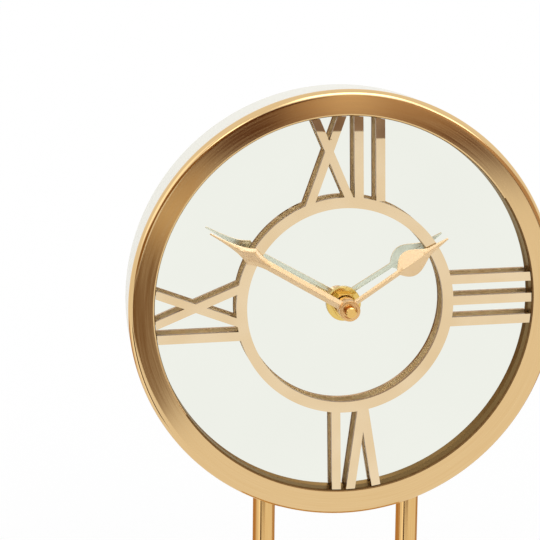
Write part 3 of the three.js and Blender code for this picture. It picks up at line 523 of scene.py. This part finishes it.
# Hands: sheet blades pressed to a ridge, riveted to round hubs. A side is a row of curves from hub to tip
def sideCurve(*curves):
    curvePoints = 24
    points = []
    for curve in curves:
        knots = [Vector((x, y, 0)) for x, y in curve]
        points += [(p.x, p.y) for p in interpolate_bezier(*knots, curvePoints)][1 if points else 0:]
    return points


def quadratic(start, pull, end):
    near = tuple(s + (p - s) * 2 / 3 for s, p in zip(start, pull))
    far = tuple(e + (p - e) * 2 / 3 for e, p in zip(end, pull))
    return start, near, far, end


def straight(start, end):
    return quadratic(start, tuple((s + e) / 2 for s, e in zip(start, end)), end)


# Rows follow the outline. The sheet falls back towards its edges over no more than the bevel's width
def blade(name, size, side):
    columns = 16
    narrowest = 0.02  # of the part between the bevels
    inside = columns / 2 - size["bevelRows"]
    bpy.ops.object.select_all(action="DESELECT")
    bpy.ops.mesh.primitive_grid_add(x_subdivisions=columns, y_subdivisions=len(side) - 1, size=1)
    piece = bpy.context.object
    turn = Matrix.Rotation(math.radians(size["angle"]), 4, "Y")
    for vertex in piece.data.vertices:
        width, reach = side[round((vertex.co.y + 0.5) * (len(side) - 1))]
        flat = max(narrowest, width - size["bevel"])
        across = vertex.co.x * 2
        share = abs(across) * columns / 2
        if share <= inside:
            offset = flat * share / inside
        else:
            offset = flat + (width - flat) * (share - inside) / size["bevelRows"]
        depth = size["ridge"] + (size["tipRidge"] - size["ridge"]) * reach / side[-1][1]
        depth += size["slope"] * max(0, offset - flat)
        vertex.co = turn @ Vector((math.copysign(offset, across) * mm, depth * mm, reach * mm))
    piece.location = onHead(0, 0, 0)
    settle(name)
    bpy.ops.object.mode_set(mode="EDIT")
    bpy.ops.mesh.select_all(action="SELECT")
    bpy.ops.mesh.normals_make_consistent(inside=False)
    bpy.ops.object.mode_set(mode="OBJECT")
    if piece.data.polygons[0].normal.y > 0:
        bpy.ops.object.mode_set(mode="EDIT")
        bpy.ops.mesh.flip_normals()
        bpy.ops.object.mode_set(mode="OBJECT")
    piece.data.materials.append(handGold)
    piece.data.materials.append(handBack)
    apply(piece, "SOLIDIFY", thickness=size["sheet"] * mm, offset=-1,
          material_offset=1, material_offset_rim=0)
    soften(piece, size["edge"], angle=40)
    smooth(piece, angle=12)  # the ridge and the bevels stay crisp
    return piece


hub = {"radius": 4.8, "edge": 0.3, "recess": 3.4, "pipe": 2.55, "arbor": 1.5}


def hubProfile(front, back, bore, recess):
    outer = hub["radius"] - hub["edge"]
    edge = quarter((outer, front + hub["edge"]), (hub["edge"], hub["edge"]), start=270, count=5)
    inside = [(bore, front)]
    if recess:
        inside = [(bore, front + recess), (hub["recess"], front + recess), (hub["recess"], front)]
    return [(bore, back), *inside, *edge, (hub["radius"], back), (bore, back)]


def hand(name, size, side, bore):
    profile = hubProfile(size["hubFront"], size["hubBack"], bore, size["hubRecess"])
    hubPiece = turnedOnHead("hub", profile, hubRound)
    hubPiece.data.materials.append(bossGold)
    smooth(hubPiece)
    return joined([blade("blade", size, side), hubPiece], name)


hourHand = {"angle": 56.8, "ridge": -5.0, "tipRidge": -1.0, "slope": 0.3, "bevel": 20, "bevelRows": 3,
            "sheet": 0.5, "edge": 0.07, "hubFront": -4.6, "hubBack": -1.4, "hubRecess": 0}
hourSide = sideCurve(
    straight((1.3, 3.4), (1.3, 28.6)),
    ((1.3, 28.6), (2.15, 29.45), (6.2, 31.8), (6.2, 35.6)),
    ((6.2, 35.6), (6.2, 39.4), (3.1, 42.2), (1.75, 46)),
    quadratic((1.75, 46), (1.3, 49.8), (0.4, 56.4)),
)
hourPiece = hand("hourHand", hourHand, hourSide, hub["pipe"])
dress(hourPiece, None, "hour", "gold_hands", "hour_hand")

minuteHand = {"angle": 299.3, "ridge": -8.9, "tipRidge": -2.4, "slope": 0.28, "bevel": 1.9, "bevelRows": 3,
              "sheet": 0.5, "edge": 0.07, "hubFront": -11.0, "hubBack": -6.2, "hubRecess": 1.6}
minuteSide = sideCurve(
    straight((2.05, 3.6), (2.05, 41)),
    quadratic((2.05, 41), (2.05, 46.4), (4.3, 50.9)),
    ((4.3, 50.9), (2.15, 54.6), (0.8, 58.6), (0.4, 72.5)),
)
minutePiece = hand("minuteHand", minuteHand, minuteSide, hub["arbor"])
dress(minutePiece, None, "minute", "gold_hands", "minute_hand")

# Centre fittings: washer, hexagon nut and the nut that caps the arbor
washer = {"hole": 4.1, "radius": 8.0, "front": 4.2, "back": 5.75, "edge": 0.25}
washerPiece = turnedOnHead("dialWasher", ringProfile(
    washer["hole"], washer["radius"], washer["front"], washer["back"]), middleRound)
soften(washerPiece, washer["edge"], segments=3)
dress(washerPiece, brass, "frame", "brass", "dial_washer")

cap = {"radius": 2.55, "front": -14.5, "back": -9.45, "face": 1.95, "corner": (2.45, -14.3), "side": -14.15}
capPiece = turnedOnHead("capNut", [
    (0, cap["front"]), (cap["face"], cap["front"]), cap["corner"], (cap["radius"], cap["side"]),
    (cap["radius"], cap["back"]), (0, cap["back"])], hubRound)
smooth(capPiece, angle=12)
dress(capPiece, pinGold, "minute", "brass", "cap_nut")
print("hands and fittings made")


# A piece that keeps its solid's outline: its mesh copied, flat faces made whole, edges broken
def brokenEdges(name, node, width):
    piece = nodes[node].copy()
    piece.data = nodes[node].data.copy()
    piece.name = name
    bpy.context.scene.collection.objects.link(piece)
    piece.parent = None
    piece.hide_render = False
    select(piece)
    bpy.ops.object.mode_set(mode="EDIT")
    bpy.ops.mesh.select_all(action="SELECT")
    bpy.ops.mesh.remove_doubles(threshold=weldReach)
    bpy.ops.mesh.dissolve_limited(angle_limit=math.radians(0.5))
    bpy.ops.object.mode_set(mode="OBJECT")
    soften(piece, width)
    return piece


for name, node, width, material, body, slot in (
        ("dialNut", "dial_nut", 0.25, brass, "frame", "brass"),
        ("movementCover", "movement_cover", 0.3, blackPlastic, "frame", "black_plastic"),
        ("settingKnob", "setting_knob", 0.25, blackPlastic, "setter", "black_plastic")):
    dress(brokenEdges(name, node, width), material, body, slot, node)

# Posts: drawn tubes, their tops coped to the drum
post = {"radius": 5.2, "foot": 12.05, "top": 140, "edge": 0.15, "gap": 0.08,
        "copeLength": 100, "copeSteps": 512}
for name, node in (("leftPost", "post_left"), ("rightPost", "post_right")):
    low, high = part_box(node)
    middle = (low + high) / (2 * mm)
    postPiece = turnedUpright(name, discProfile(post["radius"], post["foot"], post["top"]),
                              middle.x, middle.y, middleRound)
    cope = rod("cope", drum["radius"] + post["gap"], post["copeLength"],
               (0, middle.y * mm, headHeight), post["copeSteps"])
    combine(postPiece, cope, "DIFFERENCE")
    soften(postPiece, post["edge"], angle=40)
    dress(postPiece, postGold, "frame", "gold_steel", node)

# Base: a thick plate with rounded corners and broken edges, on four rubber pads
base = {"corner": 4, "cornerSteps": 10, "edge": 0.8}
low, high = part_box("base_plate")
basePiece = block("basePlate", (high - low) / mm, (low + high) / 2)
roundCorners(basePiece, upAxis, base["corner"], base["cornerSteps"])
soften(basePiece, base["edge"], segments=3)
dress(basePiece, plateGold, "frame", "gold_steel", "base_plate")

pad = {"edge": 0.5}
for number in (1, 2, 3, 4):
    low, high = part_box(f"foot_pad_{number}")
    middle = (low + high) / (2 * mm)
    radius, height = (high.x - low.x) / (2 * mm), high.z / mm
    edge = quarter((radius - pad["edge"], pad["edge"]), (pad["edge"], pad["edge"]), start=270, count=4)
    padPiece = turnedUpright(f"footPad{number}", [(0, 0), *edge, (radius, height), (0, height)],
                             middle.x, middle.y, smallRound)
    smooth(padPiece)
    dress(padPiece, rubber, "frame", "rubber", f"foot_pad_{number}")
print("stand made")

# Rear panel with the movement's window, and its screws
panel = {"radius": 96.9, "front": 26.7, "back": 28.7, "window": 60, "cut": 10, "corner": 5, "cornerSteps": 8,
         "edge": 0.3}
panelPiece = turnedOnHead("backPanel", discProfile(
    panel["radius"], panel["front"], panel["back"]), largeRound)
window = block("window", (panel["window"], panel["cut"], panel["window"]), onHead(0, panel["back"], 0))
roundCorners(window, depthAxis, panel["corner"], panel["cornerSteps"])
combine(panelPiece, window, "DIFFERENCE")
soften(panelPiece, panel["edge"])
dress(panelPiece, blackBoard, "frame", "black_board", "back_panel")

screw = {"head": 2.8, "flat": 1.4, "height": 1.8, "slot": 0.7, "reach": 3.2, "sink": 1.0, "turns": (20, 110)}
slotSize = (screw["slot"], screw["sink"] * 2, screw["reach"])
for number in (1, 2, 3, 4):
    low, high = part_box(f"back_screw_{number}")
    x, z = (low.x + high.x) / (2 * mm), ((low.z + high.z) / 2 - headHeight) / mm
    back = (high.y - faceDepth) / mm
    rim = back - screw["height"]
    dome = quarter((screw["flat"], rim), (screw["head"] - screw["flat"], screw["height"]), start=0)
    screwPiece = turnedOnHead(f"backScrew{number}", [(0, back), *reversed(dome), (0, rim)], smallRound, x, z)
    for turn in screw["turns"]:
        combine(screwPiece, block("slot", slotSize, onHead(x, back, z), turn), "DIFFERENCE")
    smooth(screwPiece, angle=35)
    dress(screwPiece, zinc, "frame", "steel", f"back_screw_{number}")

# Cell: a can in a film sleeve, with bare steel ends and a nub
cell = {"edge": 0.6, "film": 0.12, "bare": 1.6, "nub": 2.7, "nubLength": 1, "nubEdge": 0.3}
low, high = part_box("battery_cell")
middle = (low + high) / 2
radius, left, tip = (high.z - low.z) / (2 * mm), low.x / mm, high.x / mm
right = tip - cell["nubLength"]
can, edge, nub = radius - cell["film"], cell["edge"], cell["nub"]
sleeveLeft, sleeveRight = left + cell["bare"], right - cell["bare"]
cellProfile = [
    (left, 0), (left, can - edge), (left + edge / 3, can - edge / 3), (left + edge, can),
    (sleeveLeft, can), (sleeveLeft, radius), (sleeveRight, radius), (sleeveRight, can),
    (right - edge, can), (right - edge / 3, can - edge / 3), (right, can - edge), (right, nub),
    (tip - cell["nubEdge"], nub), (tip, nub - cell["nubEdge"]), (tip, 0)]
cellPiece = turned("batteryCell", [Vector((x * mm, middle.y, middle.z + out * mm)) for x, out in cellProfile],
                   middle, (1, 0, 0), middleRound)
smooth(cellPiece, angle=40)
dress(cellPiece, cellSleeve, "frame", "cell", "battery_cell")
cellPiece.data.materials.append(zinc)
for face in cellPiece.data.polygons:
    sleeved = sleeveLeft - hair < face.center.x / mm < sleeveRight + hair  # with the film's cut ends
    face.material_index = 0 if sleeved else 1
print("back made")

# World: white all round, also in the mirror. Polished metal sees the parts of a room in front of the clock
world = bpy.data.worlds.new("studio")
bpy.context.scene.world = world
world.use_nodes = True
world.cycles.sampling_method = "NONE"
tree = world.node_tree
tree.nodes.clear()
toSky = addNode(tree, "ShaderNodeTexCoord").outputs["Generated"]
way = addNode(tree, "ShaderNodeSeparateXYZ", {"Vector": toSky})
ahead = addNode(tree, "ShaderNodeMath", {0: way.outputs["Y"], 1: -1.0}, operation="MULTIPLY")
bearing = addNode(tree, "ShaderNodeMath", {
    0: way.outputs["X"], 1: ahead.outputs["Value"]}, operation="ARCTAN2")
climb = addNode(tree, "ShaderNodeMath", {0: way.outputs["Z"]}, operation="ARCSINE")
# Each part of the room, the later ones over the earlier: bearing from and to in degrees right of straight
# ahead, climb from and to, how soft these edges are, shade and strength
roomParts = {
    "brown wall": ((-32, 60), (-7.3, 11), (0.6, 1.2), "#5E3A20", 1),
    "paler wall, left": ((-32, 0), (-7.9, 11), (1.5, 1.0), "#98703E", 1),
    "paler wall, right": ((8.2, 60), (-5.2, 12), (0.7, 0.7), "#C6A688", 1),
    "pale strip": ((9.8, 12.2), (-5.2, 12), (0.7, 0.7), "#ECD4B8", 1),
    "table": ((-27, 3.9), (-17.8, -8.7), (0.9, 1.0), "#80664C", 1),
    "gap above the table": ((-8, 1.6), (-9.3, -3.6), (0.6, 0.6), "#FFFFFF", 1),
    "sill": ((2.0, 5.2), (-10.4, -7.0), (0.6, 0.8), "#CBB08A", 1),
    "light on the sill": ((2.9, 4.1), (-9.6, -8.5), (0.5, 0.6), "#ECDDBE", 1),
    "door frame": ((-45, -32), (-40, -17), (1.5, 1.5), "#54381E", 1),
    "lit door": ((-62, -51), (-40, -17), (2.0, 1.5), "#FFFFFF", 1.4),
    "behind, left": ((-200, -95), (-30, -16), (22, 1.5), "#C89C66", 1),
    "behind, right": ((100, 200), (-30, -16), (15, 1.5), "#C4A076", 1),
    "window, left": ((-13, -4.5), (12, 19), (0.8, 0.8), "#FFFFFF", 3),
    "window, right": ((22, 33), (10, 19), (0.8, 0.8), "#FFFFFF", 3),
    "window, far left": ((-52, -24), (4, 32), (3, 3), "#FFFFFF", 1.5),
    "soft box above": ((-1, 29), (20, 42), (2.5, 2.5), "#FFFFFF", 2.4),
    "middle of the soft box": ((2, 26), (25, 37), (2.5, 2.5), "#FFFFFF", 4.2),
}
seen = None
for bearingRange, climbRange, softness, shade, strength in roomParts.values():
    inside = None
    for angle, (start, end), soft in zip((bearing, climb), (bearingRange, climbRange), softness):
        for limit, sense in ((start, 1), (end, -1)):
            edge = addNode(tree, "ShaderNodeMapRange", {
                "Value": angle.outputs["Value"],
                "From Min": math.radians(limit - sense * soft),
                "From Max": math.radians(limit + sense * soft)},
                interpolation_type="SMOOTHSTEP").outputs["Result"]
            inside = edge if inside is None else addNode(
                tree, "ShaderNodeMath", {0: inside, 1: edge}, operation="MULTIPLY").outputs["Value"]
    lit = [channel * strength for channel in colour(shade)]
    under = seen or grey(1)
    seen = addNode(tree, "ShaderNodeMix", {0: inside, 6: under, 7: lit}, data_type="RGBA").outputs[2]
rays = addNode(tree, "ShaderNodeLightPath")
plain = addNode(tree, "ShaderNodeBackground", {"Color": grey(1), "Strength": 1.0})
room = addNode(tree, "ShaderNodeBackground", {"Color": seen, "Strength": 1.0})
metalRay = addNode(tree, "ShaderNodeMath", {  # the mirror's own rays are singular
    0: rays.outputs["Is Glossy Ray"], 1: rays.outputs["Is Singular Ray"]}, operation="SUBTRACT")
light = addNode(tree, "ShaderNodeMixShader", {
    0: metalRay.outputs["Value"], 1: plain.outputs["Background"], 2: room.outputs["Background"]})
addNode(tree, "ShaderNodeOutputWorld", {"Surface": light.outputs["Shader"]})

# Floor: white paper to the eye, with the shadow of the clock on it
paperLook = {"size": 12, "tone": 0.4, "glow": 0.6, "bounce": 0.75}
bpy.ops.object.select_all(action="DESELECT")
bpy.ops.mesh.primitive_plane_add(size=paperLook["size"])
floor = settle("floor")
floor.visible_glossy = False  # polished pieces see the room instead
paper = bpy.data.materials.new("white paper")
paper.use_nodes = True
tree = paper.node_tree
tree.nodes.clear()
rays = addNode(tree, "ShaderNodeLightPath")
matt = addNode(tree, "ShaderNodeBsdfDiffuse", {"Color": grey(paperLook["tone"])})
glow = addNode(tree, "ShaderNodeEmission", {"Color": grey(1), "Strength": paperLook["glow"]})
toEye = addNode(tree, "ShaderNodeAddShader", {0: matt.outputs["BSDF"], 1: glow.outputs["Emission"]})
bounce = addNode(tree, "ShaderNodeBsdfDiffuse", {"Color": grey(paperLook["bounce"])})
both = addNode(tree, "ShaderNodeMixShader", {
    0: rays.outputs["Is Camera Ray"], 1: bounce.outputs["BSDF"], 2: toEye.outputs["Shader"]})
addNode(tree, "ShaderNodeOutputMaterial", {"Surface": both.outputs["Shader"]})
floor.data.materials.append(paper)

# Camera, fitted to the photograph
view = {"place": (-196.52, -1019.64, 456.09), "bearing": 9.1175, "fall": 12.1185, "roll": 0.663,
        "lens": 152.36, "sensor": 36, "clipStart": 0.05, "clipEnd": 50}
bearing, fall, roll = (math.radians(view[key]) for key in ("bearing", "fall", "roll"))
ahead = Vector((math.sin(bearing) * math.cos(fall), math.cos(bearing) * math.cos(fall), -math.sin(fall)))
right = Vector((math.cos(bearing), -math.sin(bearing), 0))
up = right.cross(ahead)
rightRolled = right * math.cos(roll) + up * math.sin(roll)
upRolled = up * math.cos(roll) - right * math.sin(roll)
eye = bpy.data.objects.new("camera", bpy.data.cameras.new("camera"))
eye.data.lens = view["lens"]
eye.data.sensor_width = view["sensor"]
eye.data.clip_start = view["clipStart"]
eye.data.clip_end = view["clipEnd"]
eye.matrix_world = Matrix.Translation(Vector(view["place"]) * mm) @ Matrix(
    (rightRolled, upRolled, -ahead)).transposed().to_4x4()
bpy.context.scene.collection.objects.link(eye)
bpy.context.scene.camera = eye
bpy.context.scene.view_settings.view_transform = "Standard"
print("light, floor and camera set")
